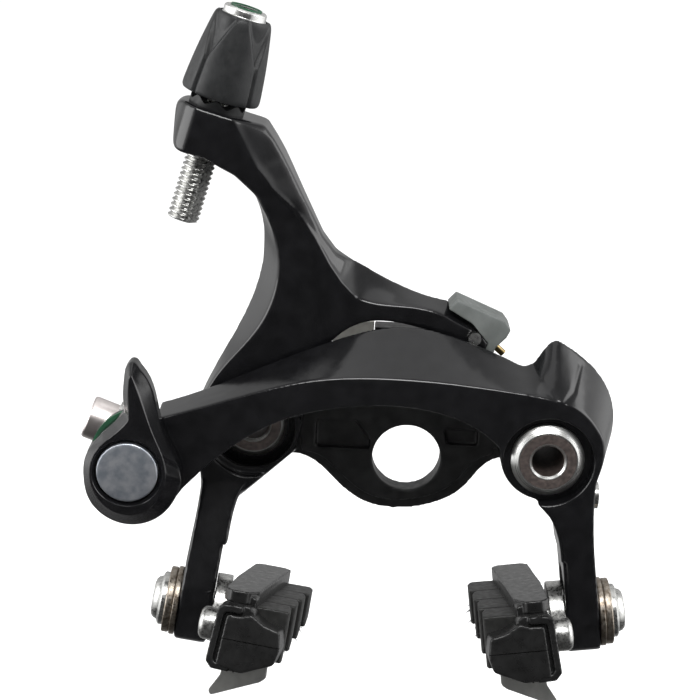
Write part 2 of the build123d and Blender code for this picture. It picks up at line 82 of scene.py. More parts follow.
# ---- sizes shared with the CAD part ----
PIVOT_X = {"left": -28.0, "right": 28.0}
RING_BACK = {"left": -10.5, "right": -24.9}      # rear face of each sleeve ring
RING_R = 6.9
RING_THICK = 2.4
SLEEVE_R = 5.35
BOLT_HOLE_R = 3.05
BUSH_R = 6.6
RECESS_R = {"left": 8.1, "right": 8.5}
RECESS_FLOOR = {"left": -10.4, "right": -24.8}
BOSS_FRONT = {"left": -15.0, "right": -28.0}
ARM_BACK = -6.3

ADJUSTER_AT = (-37.5, -15.0, 58.0)
ADJUSTER_TILT = math.radians(15.3)
STUD_R = 3.0
STUD_FOOT = -18.2
STUD_TOP = 17.2
THREAD_PITCH = 1.0
KNOB_FOOT = 6.2
KNOB_TOP = 21.4
BOSS_TOP = 4.0
FERRULE_LENGTH = 5.6
FERRULE_R = 4.2
HOUSING_R = 2.55
CABLE_R = 1.0

LEVER_AT = (-49.8, -2.7)
LEVER_BACK = 29.1            # distances in front of the rear face
LEVER_RIM = 32.3
LEVER_FLAT = 35.5
CAP_R = 5.65
ANCHOR_AT = (-53.8, -16.6, -0.5)
ANCHOR_TILT = math.radians(20.0)

LEG_AT = (-34.5, -19.0, -35.0)
LEG_TILT = math.radians(8.0)
LEG_THICK = 6.5
FOOT_BOTTOM = -7.1
WASHER_TRAVEL_TOP = 14.2
WASHER_THICK = 3.15
SHOE_RISE = {"left": -0.9, "right": 0.6}
PAD_PITCH = {"left": math.radians(17.0), "right": math.radians(15.5)}
PAD_TOE = {"left": math.radians(8.0), "right": math.radians(2.5)}
HOLDER_FROM = 3.7
WASHER_R = 6.7
PAD_SCREW_AT = (0.0, -17.5, -0.9)
RUBBER_FROM = 2.5            # where the rubber starts in the holder's frame, towards the wheel
RUBBER_DEEP = 11.0
TAPER_FROM = -24             # from here on its lower edge rises towards the back
RUBBER_TAPER = 0.075


# ---- frames ----
def axis_frame(origin, direction, across=(0, 1, 0)):
    """Frame at a point with Z along a direction and X as near to across as it can be."""
    z = Vector(direction).normalized()
    x = (Vector(across) - z * z.dot(Vector(across))).normalized()
    turn = Matrix((x, z.cross(x), z)).transposed().to_4x4()
    return Matrix.Translation(Vector(origin)) @ turn


def facing_front(x, z):
    """Frame on the rear face with Z towards the front and X to the right."""
    return axis_frame((x, 0, z), (0, -1, 0), (1, 0, 0))


def pivot_frame(side):
    return facing_front(PIVOT_X[side], 0)


ADJUSTER = axis_frame(ADJUSTER_AT, (math.sin(ADJUSTER_TILT), 0, math.cos(ADJUSTER_TILT)))
ANCHOR = axis_frame(ANCHOR_AT, (-math.cos(ANCHOR_TILT), 0, math.sin(ANCHOR_TILT)))


def shoe_frame(side):
    """X towards the wheel, Y back, Z up the leg; origin where the shoe bolt leaves the leg."""
    place = Matrix.Translation(Vector(LEG_AT)) @ Matrix.Rotation(LEG_TILT, 4, "Y")
    place = place @ Matrix.Translation((0, 0, SHOE_RISE[side]))
    return place if side == "left" else Matrix.Scale(-1, 4, (1, 0, 0)) @ place


def holder_frame(side):
    """The shoe's own frame, pitched and toed in."""
    turn = Matrix.Rotation(-PAD_PITCH[side], 4, "X") @ Matrix.Rotation(-PAD_TOE[side], 4, "Z")
    return shoe_frame(side) @ Matrix.Translation((HOLDER_FROM, 0, 0)) @ turn


def along_x(place, x=0.0, y=0.0, z=0.0):
    """A frame in place whose Z runs along place's X."""
    return place @ Matrix.Translation((x, y, z)) @ Matrix.Rotation(math.pi / 2, 4, "Y")


def section(place):
    """The frame whose X and Y are place's X and Z, so that an outline is a cross-section.
    Its own Z runs to the front, along -Y."""
    return place @ Matrix.Rotation(math.pi / 2, 4, "X")


# ---- mesh tools ----
def new_piece(name, points, faces, place=None):
    """Object from points in millimetres, put in place in the shared frame."""
    place = place or Matrix.Identity(4)
    if place.determinant() < 0:
        faces = [tuple(reversed(face)) for face in faces]
    mesh = bpy.data.meshes.new(name)
    mesh.from_pydata([(place @ Vector(p)) * MM for p in points], [], faces)
    piece = bpy.data.objects.new(name, mesh)
    bpy.context.collection.objects.link(piece)
    return piece


def clean(piece):
    """Welds coincident points and turns every face outwards."""
    work = bmesh.new()
    work.from_mesh(piece.data)
    bmesh.ops.remove_doubles(work, verts=work.verts, dist=1e-7)
    bmesh.ops.recalc_face_normals(work, faces=work.faces)
    work.to_mesh(piece.data)
    work.free()
    return piece


def shade(piece, sharp=35.0):
    """Smooth shading that keeps edges steeper than sharp degrees crisp."""
    piece.data.shade_smooth()
    piece.data.set_sharp_from_angle(angle=math.radians(sharp))
    return piece


def bake_modifiers(piece):
    graph = bpy.context.evaluated_depsgraph_get()
    mesh = bpy.data.meshes.new_from_object(piece.evaluated_get(graph))
    piece.modifiers.clear()
    piece.data = mesh
    return piece


def cut(piece, *tools, operation="DIFFERENCE"):
    """Cuts closed tools out of a piece, or joins or keeps them, and removes the tools."""
    for tool in tools:
        change = piece.modifiers.new("cut", "BOOLEAN")
        change.operation = operation
        change.solver = "MANIFOLD"
        change.object = tool
    bake_modifiers(piece)
    for tool in tools:
        bpy.data.objects.remove(tool)
    return piece


def twin_of(piece):
    """A second object with its own copy of the same mesh."""
    twin = bpy.data.objects.new(f"{piece.name}_twin", piece.data.copy())
    bpy.context.collection.objects.link(twin)
    return twin


def joined(piece, *others):
    """Puts the meshes of several pieces into the first one."""
    work = bmesh.new()
    for source in (piece, *others):
        work.from_mesh(source.data)
    work.to_mesh(piece.data)
    work.free()
    for other in others:
        bpy.data.objects.remove(other)
    return piece


def remeshed(piece, voxel, rounds):
    """One closed skin round a piece, with its edges rounded off by smoothing."""
    skin = piece.modifiers.new("skin", "REMESH")
    skin.mode = "VOXEL"
    skin.voxel_size = voxel * MM
    relax = piece.modifiers.new("relax", "SMOOTH")
    relax.factor = 0.5
    relax.iterations = rounds
    return bake_modifiers(piece)


def cad_copy(node):
    """A new object with a copy of a CAD node's mesh."""
    piece = bpy.data.objects.new(f"{node}_look", NODES[node].data.copy())
    bpy.context.collection.objects.link(piece)
    return piece


def softened(node, voxel, rounds, fills=(), cuts=()):
    """A CAD node with its edges rounded like a forging or a moulding.
    Fills close its bores before the rounding, and cuts open them crisply after it."""
    piece = remeshed(joined(cad_copy(node), *fills), voxel, rounds)
    if cuts:
        cut(piece, *cuts)
    return piece


def reshape(piece, move):
    """Moves a piece's points: move takes and gives an array of points, with their normals."""
    mesh = piece.data
    points = np.empty(len(mesh.vertices) * 3, np.float32)
    mesh.vertices.foreach_get("co", points)
    normals = np.empty(len(mesh.vertices) * 3, np.float32)
    mesh.vertices.foreach_get("normal", normals)
    moved = move(points.reshape(-1, 3) / MM, normals.reshape(-1, 3)) * MM
    mesh.vertices.foreach_set("co", moved.astype(np.float32).ravel())
    mesh.update()
    return piece


def stand_for(piece, *nodes):
    """The piece is shown in place of these CAD nodes, on their body and in their finish."""
    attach(piece, BODY[nodes[0]])
    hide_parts(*nodes)
    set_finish(piece, SLOT[nodes[0]])
    return piece


def rounded(points, radius, steps=4):
    """A closed outline with each corner replaced by an arc."""
    result = []
    count = len(points)
    for index, corner in enumerate(points):
        here = Vector(corner)
        before = Vector(points[index - 1]) - here
        after = Vector(points[(index + 1) % count]) - here
        half = before.angle(after) / 2
        reach = min(radius / math.tan(half), before.length * 0.45, after.length * 0.45)
        start = here + before.normalized() * reach
        end = here + after.normalized() * reach
        for step in range(steps + 1):
            t = step / steps
            result.append(tuple(start * (1 - t) ** 2 + here * 2 * t * (1 - t) + end * t ** 2))
    return result


def turned(name, profile, place, steps=ROUND_STEPS):
    """Body of revolution about place's Z from a closed outline of (radius, height) points."""
    rows = len(profile)
    points = []
    for step in range(steps):
        angle = 2 * math.pi * step / steps
        points += [(r * math.cos(angle), r * math.sin(angle), h) for r, h in profile]
    faces = []
    for step in range(steps):
        a, b = step * rows, (step + 1) % steps * rows
        for row in range(rows):
            after = (row + 1) % rows
            faces.append((a + row, b + row, b + after, a + after))
    return clean(new_piece(name, points, faces, place))


def wrapped(name, points, around, place):
    """Closed skin over rings of points that follow each other along an axis."""
    rows = len(points) // around - 1
    faces = []
    for row in range(rows):
        for step in range(around):
            after = (step + 1) % around
            faces.append((row * around + step, row * around + after,
                          (row + 1) * around + after, (row + 1) * around + step))
    faces.append(tuple(reversed(range(around))))
    faces.append(tuple(rows * around + step for step in range(around)))
    return new_piece(name, points, faces, place)


def ring(name, place, inner, outer, low, high, edge):
    """Washer or ring with rounded edges."""
    outline = [(inner, low), (outer, low), (outer, high), (inner, high)]
    return turned(name, rounded(outline, edge), place)


def disc(name, place, radius, low, high, edge, dome=0.0, steps=ROUND_STEPS):
    """Solid disc whose top edge is rounded and whose top may be domed."""
    flat = radius - edge
    arc_steps, dome_steps = 4, 8
    profile = [(0, low), (radius, low), (radius, high - edge)]
    for step in range(1, arc_steps + 1):
        angle = math.pi / 2 * step / arc_steps
        profile.append((flat + edge * math.cos(angle), high - edge + edge * math.sin(angle)))
    for step in range(1, dome_steps + 1):
        r = flat * (1 - step / dome_steps)
        profile.append((r, high + dome * (1 - (r / flat) ** 2)))
    return turned(name, profile, place, steps)


def prism(name, place, outline, low, high):
    """Closed solid from an outline in place's XY plane."""
    count = len(outline)
    points = [(x, y, low) for x, y in outline] + [(x, y, high) for x, y in outline]
    faces = [tuple(range(count)), tuple(range(2 * count - 1, count - 1, -1))]
    for index in range(count):
        after = (index + 1) % count
        faces.append((index, index + count, after + count, after))
    return clean(new_piece(name, points, faces, place))


def polygon(sides, radius):
    angles = [2 * math.pi * k / sides for k in range(sides)]
    return [(radius * math.cos(angle), radius * math.sin(angle)) for angle in angles]


def cylinder(name, place, radius, low, high):
    return prism(name, place, polygon(ROUND_STEPS, radius), low, high)


def hex_socket(place, across_flats, depth, top):
    """Tool for a hexagon socket going down from height top."""
    return prism("socket", place, polygon(6, across_flats / math.sqrt(3)), top - depth, top + 2)


def box(name, place, x0, x1, y0, y1, z0, z1):
    return prism(name, place, [(x0, y0), (x1, y0), (x1, y1), (x0, y1)], z0, z1)


def strip(name, rows, place=None):
    """Solid with a four-cornered section that runs through the rows of points."""
    corners = 4
    last = corners * (len(rows) - 1)
    faces = [(3, 2, 1, 0)]
    for start in range(0, last, corners):
        for k in range(corners):
            after = (k + 1) % corners
            faces.append((start + k, start + after, start + corners + after, start + corners + k))
    faces.append((last, last + 1, last + 2, last + 3))
    return clean(new_piece(name, [point for row in rows for point in row], faces, place))


def smooth_step(value, low, high):
    t = np.clip((value - low) / (high - low), 0, 1)
    return t * t * (3 - 2 * t)


def distance_to_path(points, path):
    """Distance in the XZ plane from each point to a run of straight lines."""
    flat = points[:, [0, 2]]
    nearest = np.full(len(points), 1e9)
    for start, end in zip(path, path[1:]):
        a, b = np.array(start), np.array(end)
        t = np.clip((flat - a) @ (b - a) / ((b - a) @ (b - a)), 0, 1)
        nearest = np.minimum(nearest, np.linalg.norm(flat - a - t[:, None] * (b - a), axis=1))
    return nearest


def soft_copy(node, voxel, rounds):
    """A CAD node with nothing but its edges softened."""
    return shade(stand_for(softened(node, voxel, rounds), node), 40)


# ---- front and rear arms, bracket ----
def bore_tools(side):
    """Tools for the recess and bore of a pivot, as the arm on that side has them."""
    place = pivot_frame(side)
    floor, front = -RECESS_FLOOR[side], -BOSS_FRONT[side]
    lip = 0.35
    chamfer = [(RECESS_R[side] - 1, front - lip - 1), (RECESS_R[side] - 0.02, front - lip),
               (RECESS_R[side] + lip + 2, front + 2), (RECESS_R[side] - 1, front + 2)]
    return [
        cylinder("recess", place, RECESS_R[side], floor, front + 6),
        cylinder("bore", place, BUSH_R, 0, front + 5),
        turned("lip", chamfer, place),
    ]


def foot_corners(side):
    """Tools that round the two bottom corners of a leg's foot, as seen from the front."""
    radius, beyond = 1.7, 2.0
    steps = 6
    low = FOOT_BOTTOM - beyond
    tools = []
    for edge, inwards in ((-LEG_THICK, 1), (0.0, -1)):
        outline = []
        for step in range(steps + 1):
            angle = math.pi / 2 * step / steps
            outline.append((edge + inwards * radius * (1 - math.cos(angle)),
                            FOOT_BOTTOM + radius * (1 - math.sin(angle))))
        outside = edge - inwards * beyond
        outline += [(edge + inwards * radius, low), (outside, low), (outside, FOOT_BOTTOM + radius)]
        tools.append(prism("corner", section(shoe_frame(side)), outline, -12, 12))
    return tools


def boss_fill(side):
    """Closes a pivot's bore and recess while the arm is being smoothed."""
    return cylinder("fill", pivot_frame(side), BUSH_R + 1, -ARM_BACK, -RECESS_FLOOR[side])


def washer_room(side):
    """Tool that keeps the leg's inner face clear all the way up the inner washer's travel."""
    return box("washer_room", shoe_frame(side), 0.02, 8, -8, 8, -9, WASHER_TRAVEL_TOP)


def leg_cuts(side):
    """What is crisp on an arm's leg after the smoothing."""
    return [*foot_corners(side), washer_room(side)]


def front_arm():
    """Curved bar with a V-shaped line pressed into the horn above the right pivot."""
    cuts = [*bore_tools("right"), *leg_cuts("right")]
    piece = softened("front_arm", FORGED_VOXEL, 14, [boss_fill("right")], cuts)
    horn = [(24.2, 19.0), (25.5, 14.9), (29.6, 11.4), (32.0, 13.2), (33.6, 16.8)]
    groove_depth, groove_width = 0.11, 0.5

    def press(points, normals):
        forward = smooth_step(-points[:, 1], 16.5, 18.5)
        groove = np.exp(-(distance_to_path(points, horn) / groove_width) ** 2)
        return points - normals * (groove_depth * groove * forward)[:, None]

    return shade(stand_for(reshape(piece, press), "front_arm"), 40)


# The rear arm's crease, from the top of the boss down to the branch, and the outer edge right of it.
ARM_CREASE = [(-34.0, 61.2), (-31.2, 56.6), (-28.6, 51.6), (-26.2, 48.5), (-23.0, 45.3), (-20.0, 41.8),
              (-17.4, 38.0), (-14.6, 33.2), (-12.4, 30.2), (-9.6, 27.3)]
ARM_OUTSIDE = [(-27.4, 59.4), (-25.4, 56.8), (-23.6, 53.8), (-21.9, 50.4), (-19.9, 46.3), (-17.9, 42.3),
               (-15.9, 38.3), (-13.3, 35.0), (-11.0, 33.5), (-9.9, 33.0)]


def arm_shoulder():
    """Filling right of the rear arm's crease, so that the arm slopes away gently there.
    It stands forward on the boss, and its slope steepens down to the branch's own."""
    arm_front, boss_step = -16.1, 5.3
    gentle, steeper = 0.42, 0.84
    back = -8.9
    rows = []
    for (cx, cz), (ox, oz) in zip(ARM_CREASE, ARM_OUTSIDE):
        front = arm_front - boss_step * min(1.0, max(0.0, (cz - 41) / 11))
        fall = gentle + steeper * min(1.0, max(0.0, (43 - cz) / 15.7))
        edge = front + fall * math.hypot(ox - cx, oz - cz)
        rows.append([(cx, front, cz), (ox, edge, oz), (ox, back, oz), (cx, back, cz)])
    return strip("shoulder", rows)


def rear_arm():
    """Upright with a branch to the right; a fine raised line runs down its crease."""
    plug = cylinder("plug", ADJUSTER, STUD_R + 1, -4, 3)
    hole = cylinder("stud_hole", ADJUSTER, STUD_R + 0.3, -14, 12)
    cuts = [*bore_tools("left"), hole, *leg_cuts("left")]
    piece = softened("rear_arm", FORGED_VOXEL, 30, [boss_fill("left"), plug, arm_shoulder()], cuts)
    bead_height, bead_width = 0.24, 0.42

    def bead(points, normals):
        raised = bead_height * np.exp(-(distance_to_path(points, ARM_CREASE) / bead_width) ** 2)
        facing = smooth_step(-normals[:, 1], 0.3, 0.8)
        below_boss = 1 - smooth_step(points[:, 2], 44, 52)
        return points + normals * (raised * facing * below_boss)[:, None]

    return shade(stand_for(reshape(piece, bead), "rear_arm"), 40)


def bracket():
    return soft_copy("mounting_bracket", FORGED_VOXEL, 4)


# ---- pivots ----
def sleeve_ring(side):
    """Turned ring with a conical front face, and the bright chamfer at the sleeve's mouth."""
    place = pivot_frame(side)
    low = -RING_BACK[side]
    high = low + RING_THICK
    cone = 0.95
    outline = [(SLEEVE_R, low), (RING_R, low), (RING_R, high - cone),
               (SLEEVE_R + 0.25, high), (SLEEVE_R, high)]
    piece = turned(f"{side}_sleeve_ring_look", rounded(outline, 0.08, 2), place, FINE_STEPS)
    proud = high + 0.12
    mouth = [(BOLT_HOLE_R, high - 0.6), (BOLT_HOLE_R + 0.5, high - 0.1), (BOLT_HOLE_R + 0.5, proud),
             (BOLT_HOLE_R + 0.35, proud), (BOLT_HOLE_R, high - 0.3)]
    joined(piece, turned("mouth", mouth, place, FINE_STEPS))
    return shade(stand_for(piece, f"{side}_sleeve_ring"), 25)


def pivot_sleeve(side):
    """Dark sleeve; the bolt sits against the bright chamfer round its mouth."""
    place = pivot_frame(side)
    high = -RING_BACK[side] + RING_THICK + 0.1
    mouth = 0.45
    outline = [(BOLT_HOLE_R, 0), (SLEEVE_R, 0), (SLEEVE_R, high), (BOLT_HOLE_R + mouth, high),
               (BOLT_HOLE_R, high - mouth)]
    piece = turned(f"{side}_pivot_sleeve_look", rounded(outline, 0.04, 1), place, FINE_STEPS)
    return shade(stand_for(piece, f"{side}_pivot_sleeve"), 25)


# ---- cable adjuster ----
def adjuster_stud():
    """Stud with a real V thread and a flat keyway down its side."""
    rows_per_turn, around = 12, 72
    thread_depth, thread_slope = 0.55, 1.25
    key_angle, key_reach = math.radians(238), 2.3
    rows = int((STUD_TOP - STUD_FOOT) / THREAD_PITCH * rows_per_turn)
    points = []
    for row in range(rows + 1):
        height = STUD_FOOT + (STUD_TOP - STUD_FOOT) * row / rows
        end = min(1.0, (height - STUD_FOOT) / 0.5 + 0.55)
        for step in range(around):
            angle = 2 * math.pi * step / around
            turn = (height / THREAD_PITCH - step / around) % 1.0
            radius = STUD_R - thread_depth * (1 - min(1.0, thread_slope * abs(2 * turn - 1)))
            facing = math.cos(angle - key_angle)
            if facing > 0.2:
                radius = min(radius, key_reach / facing)
            radius *= end
            points.append((radius * math.cos(angle), radius * math.sin(angle), height))
    piece = wrapped("adjuster_stud_look", points, around, ADJUSTER)
    return shade(stand_for(piece, "adjuster_stud"), 30)


def knob_radius(angle, share):
    """Radius of the knob at a share of its height: four pointed-arch panels bulge out of
    a slimmer four-sided cone, which flares into wings below the fold."""
    base = 7.45 - 2.2 * share + 0.25 * math.sin(math.pi * share)
    quarter = math.pi / 2
    off = abs((angle + quarter / 2) % quarter - quarter / 2)
    arch_top, arch_half = 1.02, math.radians(43)
    arch = arch_half * min(1.0, ((arch_top - share) / 0.55)) ** 0.62 if share < arch_top else 0.0
    inside = 1 / (1 + math.exp((off - arch) / 0.02))
    side = (base - 0.62) * 0.93 / max(math.cos(quarter / 2 - off), 0.8)
    fold, flare, slimmest = 0.42, 0.5, 4.95
    if share >= fold:
        flare *= max(0.0, 1 - (share - fold) / 0.06)
    wing = min(base - 0.12, side + flare)
    return inside * base + (1 - inside) * max(wing, slimmest)


def adjuster_knob():
    """Hollow knob; its two ends are eased over, and the nut, stud and ferrule fit inside it."""
    rows, around = 72, 288
    panel_turn = math.radians(4)
    points = []
    for row in range(rows + 1):
        share = row / rows
        ease = 0.35 * (math.exp(-share * 40) + math.exp(-(1 - share) * 40))
        for step in range(around):
            angle = 2 * math.pi * step / around
            radius = knob_radius(angle - panel_turn, share) - ease
            points.append((radius * math.cos(angle), radius * math.sin(angle),
                           KNOB_FOOT + (KNOB_TOP - KNOB_FOOT) * share))
    piece = wrapped("adjuster_knob_look", points, around, ADJUSTER)
    cut(piece,
        cylinder("foot", ADJUSTER, 5.6, KNOB_FOOT - 1, KNOB_FOOT + 1.0),
        cylinder("nut_room", ADJUSTER, 4.5, KNOB_FOOT - 1, KNOB_FOOT + 6),
        cylinder("stud_room", ADJUSTER, STUD_R + 0.3, KNOB_FOOT - 1, KNOB_TOP + 1),
        cylinder("ferrule_room", ADJUSTER, FERRULE_R + 0.2, KNOB_TOP - 4.2, KNOB_TOP + 1))
    return shade(stand_for(piece, "adjuster_knob"), 30)


def housing_ferrule():
    """Turned cup for the end of the cable housing."""
    low, top = STUD_TOP, STUD_TOP + FERRULE_LENGTH
    floor = low + 1.4
    neck = FERRULE_R - 0.2
    outline = [(CABLE_R, low), (FERRULE_R - 0.3, low), (FERRULE_R, low + 0.4), (FERRULE_R, top - 1.5),
               (neck, top - 1.3), (neck, top - 0.3), (neck - 0.3, top), (3.0, top),
               (HOUSING_R, top - 0.5), (HOUSING_R, floor), (CABLE_R, floor)]
    piece = turned("housing_ferrule_look", rounded(outline, 0.12, 2), ADJUSTER)
    return shade(stand_for(piece, "housing_ferrule"), 30)


def detent_ring():
    """Wavy ring that the knob clicks over."""
    around, waves = 192, 8
    inner, outer = STUD_R + 0.5, 5.2
    points = []
    for step in range(around):
        angle = 2 * math.pi * step / around
        x, y = math.cos(angle), math.sin(angle)
        crest = BOSS_TOP + 1.35 + 0.5 * math.cos(waves * angle)
        points += [(inner * x, inner * y, BOSS_TOP), (outer * x, outer * y, BOSS_TOP),
                   (outer * x, outer * y, crest - 0.15), ((outer - 0.2) * x, (outer - 0.2) * y, crest),
                   (inner * x, inner * y, crest)]
    corners = len(points) // around
    faces = []
    for step in range(around):
        a, b = step * corners, (step + 1) % around * corners
        faces += [(a + k, b + k, b + (k + 1) % corners, a + (k + 1) % corners) for k in range(corners)]
    piece = clean(new_piece("detent_ring_look", points, faces, ADJUSTER))
    return shade(stand_for(piece, "detent_ring"), 40)


# ---- quick release and cable anchor ----
def lever_shoulder():
    """Filling left of the lever's finger: its rim runs straight down to the round part."""
    rim = [(-0.8, 10.6), (-2.9, 8.3), (-4.9, 6.4), (-7.8, 2.6)]
    flat = [(0.2, 10.3), (-1.6, 8.2), (-4.5, 5.5), (-6.3, 2.7)]
    inwards = 1.2
    rows = [[(rx, rz, LEVER_BACK), (rx, rz, LEVER_RIM), (fx, fz, LEVER_FLAT),
             (fx + inwards, fz - inwards, LEVER_BACK)]
            for (rx, rz), (fx, fz) in zip(rim, flat)]
    return strip("lever_shoulder", rows, facing_front(*LEVER_AT))


def release_lever():
    """Teardrop lever with a round pocket for the cap."""
    place = facing_front(*LEVER_AT)
    fill = cylinder("fill", place, 6.4, 30, 35.6)
    shaft = cylinder("shaft", place, 3.0, 29.3, 35)
    pocket = cylinder("pocket", place, 6.0, 34.6, 37)
    rim = turned("rim", [(5, 35.0), (5.9, 35.0), (6.9, 36.2), (5, 36.2)], place)
    piece = softened("release_lever", LEVER_VOXEL, 6, [fill, shaft, lever_shoulder()], [pocket, rim])
    return shade(stand_for(piece, "release_lever"), 40)


def release_cap():
    """Silver disc with a rounded edge and a slight dome."""
    piece = disc("release_cap_look", facing_front(*LEVER_AT), CAP_R, 34.6, 35.75, 0.35, 0.12, FINE_STEPS)
    return shade(stand_for(piece, "release_cap"), 50)


def cable_anchor_bolt():
    """Round-headed bolt with a hexagon socket."""
    head_low, head_high = 1.04, 6.04
    piece = disc("cable_anchor_bolt_look", ANCHOR, 4.15, head_low, head_high, 0.55)
    shank = cylinder("shank", ANCHOR, 2.5, -6.5, head_low + 1)
    cut(piece, shank, operation="UNION")
    cut(piece, hex_socket(ANCHOR, 4.0, 3.0, head_high))
    return shade(stand_for(piece, "cable_anchor_bolt"), 30)


# ---- brake shoes ----
def inner_washer(side):
    place = along_x(shoe_frame(side))
    piece = ring(f"{side}_inner_washer_look", place, STUD_R, WASHER_R, 0.05, WASHER_THICK, 0.3)
    return shade(stand_for(piece, f"{side}_inner_washer"), 30)


def outer_washers(side):
    """A flat washer on the leg and a cupped one under the bolt's head."""
    place = along_x(shoe_frame(side))
    leg = -LEG_THICK
    flat = ring(f"{side}_outer_washers_look", place, STUD_R, WASHER_R, leg - 1.1, leg - 0.05, 0.25)
    cupped = ring("cupped", place, STUD_R, WASHER_R - 0.25, leg - 2.6, leg - 1.12, 0.4)
    return shade(stand_for(joined(flat, cupped), f"{side}_outer_washers"), 30)


def shoe_bolt(side):
    """Flanged button-head bolt, its head outwards."""
    place = along_x(shoe_frame(side)) @ Matrix.Rotation(math.pi, 4, "X")
    tip = -HOLDER_FROM - 1.8
    seat = LEG_THICK + 2.6
    top = seat + 2.6
    profile = [(0, tip), (STUD_R, tip), (STUD_R, seat), (5.2, seat), (5.2, seat + 0.8), (4.9, seat + 1.1),
               (4.3, seat + 1.3), (4.0, seat + 2.0), (3.5, seat + 2.45), (2.8, top), (0, top)]
    piece = turned(f"{side}_shoe_bolt_look", profile, place)
    cut(piece, hex_socket(place, 4.0, 2.2, top))
    return shade(stand_for(piece, f"{side}_shoe_bolt"), 30)


def pad_screw(side):
    """Small domed screw that keeps the rubber in its holder."""
    place = along_x(holder_frame(side), *PAD_SCREW_AT) @ Matrix.Rotation(math.pi, 4, "X")
    shank_r, head_r, top = 1.5, 3.1, 3.1
    profile = [(0, -3.2), (shank_r, -3.2), (shank_r, -0.8), (head_r - 0.2, -0.8), (head_r, -0.5),
               (head_r, 1.9), (2.95, 2.4), (2.5, 2.8), (1.6, 3.0), (0, top)]
    piece = turned(f"{side}_pad_screw_look", profile, place, 64)
    cut(piece, hex_socket(place, 2.0, 1.2, top))
    return shade(stand_for(piece, f"{side}_pad_screw"), 35)


def holder_tray(side):
    """Tray that the rubber slides into, with a raised frame round its front end."""
    place = holder_frame(side)
    across = section(place)
    wall = [(0.6, -6.6), (2.0, -7.4), (7.6, -7.0), (8.2, -6.2), (8.2, 3.4), (7.0, 4.6), (2.2, 4.8),
            (1.4, 3.8)]
    tray = prism("tray", across, rounded(wall, 0.6, 3), -28, 26.8)
    cut(tray, box("trough", place, 2.4, 12, -22.0, 29, -4.8, 4.3))
    frame_outline = [(0.6, -6.2), (1.8, -7.5), (6.4, -7.6), (6.4, -6.5), (2.3, -6.2), (1.9, -5.6),
                     (2.5, 2.6), (2.9, 3.1), (5.9, 3.1), (5.9, 4.5), (2.4, 4.4), (1.3, 3.6)]
    rim = prism("rim", across, rounded(frame_outline, 0.5, 3), 24.5, 27.7)
    return remeshed(joined(tray, rim), MOULDED_VOXEL, 5)


def holder_nose(side):
    """Smooth nose in front of the rubber."""
    outline = [(2.5, -6.7), (7.4, -7.5), (13.0, -5.0), (13.7, -2.2), (13.2, 1.2), (10.2, 1.9), (7.6, 3.4),
               (5.6, 2.7), (3.1, 2.7)]
    nose = prism("nose", section(holder_frame(side)), rounded(outline, 0.7, 4), 20.6, 27.9)
    return remeshed(nose, MOULDED_VOXEL, 16)


def holder_rib(side):
    """Thin rib just inside the frame."""
    outline = [(3.3, 2.3), (2.8, -6.0), (5.8, -6.3), (5.8, -5.9), (3.2, -5.6), (3.75, 2.3)]
    rib = prism("rib", section(holder_frame(side)), rounded(outline, 0.15, 2), 24, 27.75)
    return remeshed(rib, FINE_VOXEL, 2)


def holder_lid(side):
    """Lid along the holder's top edge, hooked over the rubber."""
    place = holder_frame(side)
    plan = [(1.3, -22), (2.6, -24.8), (6.0, -24.6), (7.6, -20), (7.5, 0), (7.6, 27), (6.4, 29), (0.8, 29),
            (-0.1, 27), (0.3, 0)]
    lid = prism("lid", place, rounded(plan, 1.2, 4), 4.6, 6.9)
    lip = [(5.2, 2.9), (7.6, 3.3), (7.6, 6), (5.2, 6)]
    hook = prism("hook", section(place), rounded(lip, 0.5), -27, 23.6)
    return remeshed(joined(lid, hook), MOULDED_VOXEL, 7)


def shoe_holder(side):
    """Moulded tray with a raised frame round its smooth nose and a lid along its top edge."""
    place = holder_frame(side)
    tray, nose, rib, lid = holder_tray(side), holder_nose(side), holder_rib(side), holder_lid(side)
    bolt_axis = along_x(shoe_frame(side))
    washer_seat = cylinder("seat", bolt_axis, WASHER_R + 0.3, 0, WASHER_THICK + 0.05)
    bolt_hole = cylinder("bolt_hole", bolt_axis, STUD_R + 0.5, 0, 5.6)
    cut(lid, twin_of(washer_seat))
    cut(tray, washer_seat, bolt_hole, box("notch", place, 5.0, 5.9, -29, -26.2, -8.5, -6.0))
    cut(nose, box("parting", place, 3.0, 15, -29, -27.3, -1.8, -1.65))
    piece = joined(tray, nose, rib, lid)
    piece.name = f"{side}_shoe_holder_look"
    return shade(stand_for(piece, f"{side}_shoe_holder"), 40)


def bow(x):
    """How far a groove across the rubber bends back, from the holder out to the rim."""
    return 1.7 * math.sin(math.pi * 0.62 * (x - RUBBER_FROM) / RUBBER_DEEP)


def pad_lobe(place, front, back):
    """One block of the rubber; its rubbing face steps out towards its front end."""
    steps = 6
    reach = [RUBBER_FROM + RUBBER_DEEP * k / steps for k in range(steps + 1)]
    face = reach[-1]
    outline = [(x, front + bow(x)) for x in reach]
    outline += [(13.7, front + bow(face) + 1.2), (13.2, back - 1.6), (12.4, back + bow(12.4) - 0.2)]
    outline += [(x, back + bow(x)) for x in reversed(reach[:-1])]
    lobe = remeshed(prism("lobe", place, outline, -4.8, 4.2), LOBE_VOXEL, 4)

    def taper(points, normals):
        local = np.array([tuple(place.inverted() @ Vector(p)) for p in points])
        low = smooth_step(-local[:, 2], -4.2, 4.8)
        local[:, 2] += RUBBER_TAPER * np.clip(local[:, 1] - TAPER_FROM, 0, 60) * low
        local[:, 2] += 0.09 * (local[:, 2] - 4) * smooth_step(local[:, 0], 6, 13)
        return np.array([tuple(place @ Vector(p)) for p in local])

    return reshape(lobe, taper)


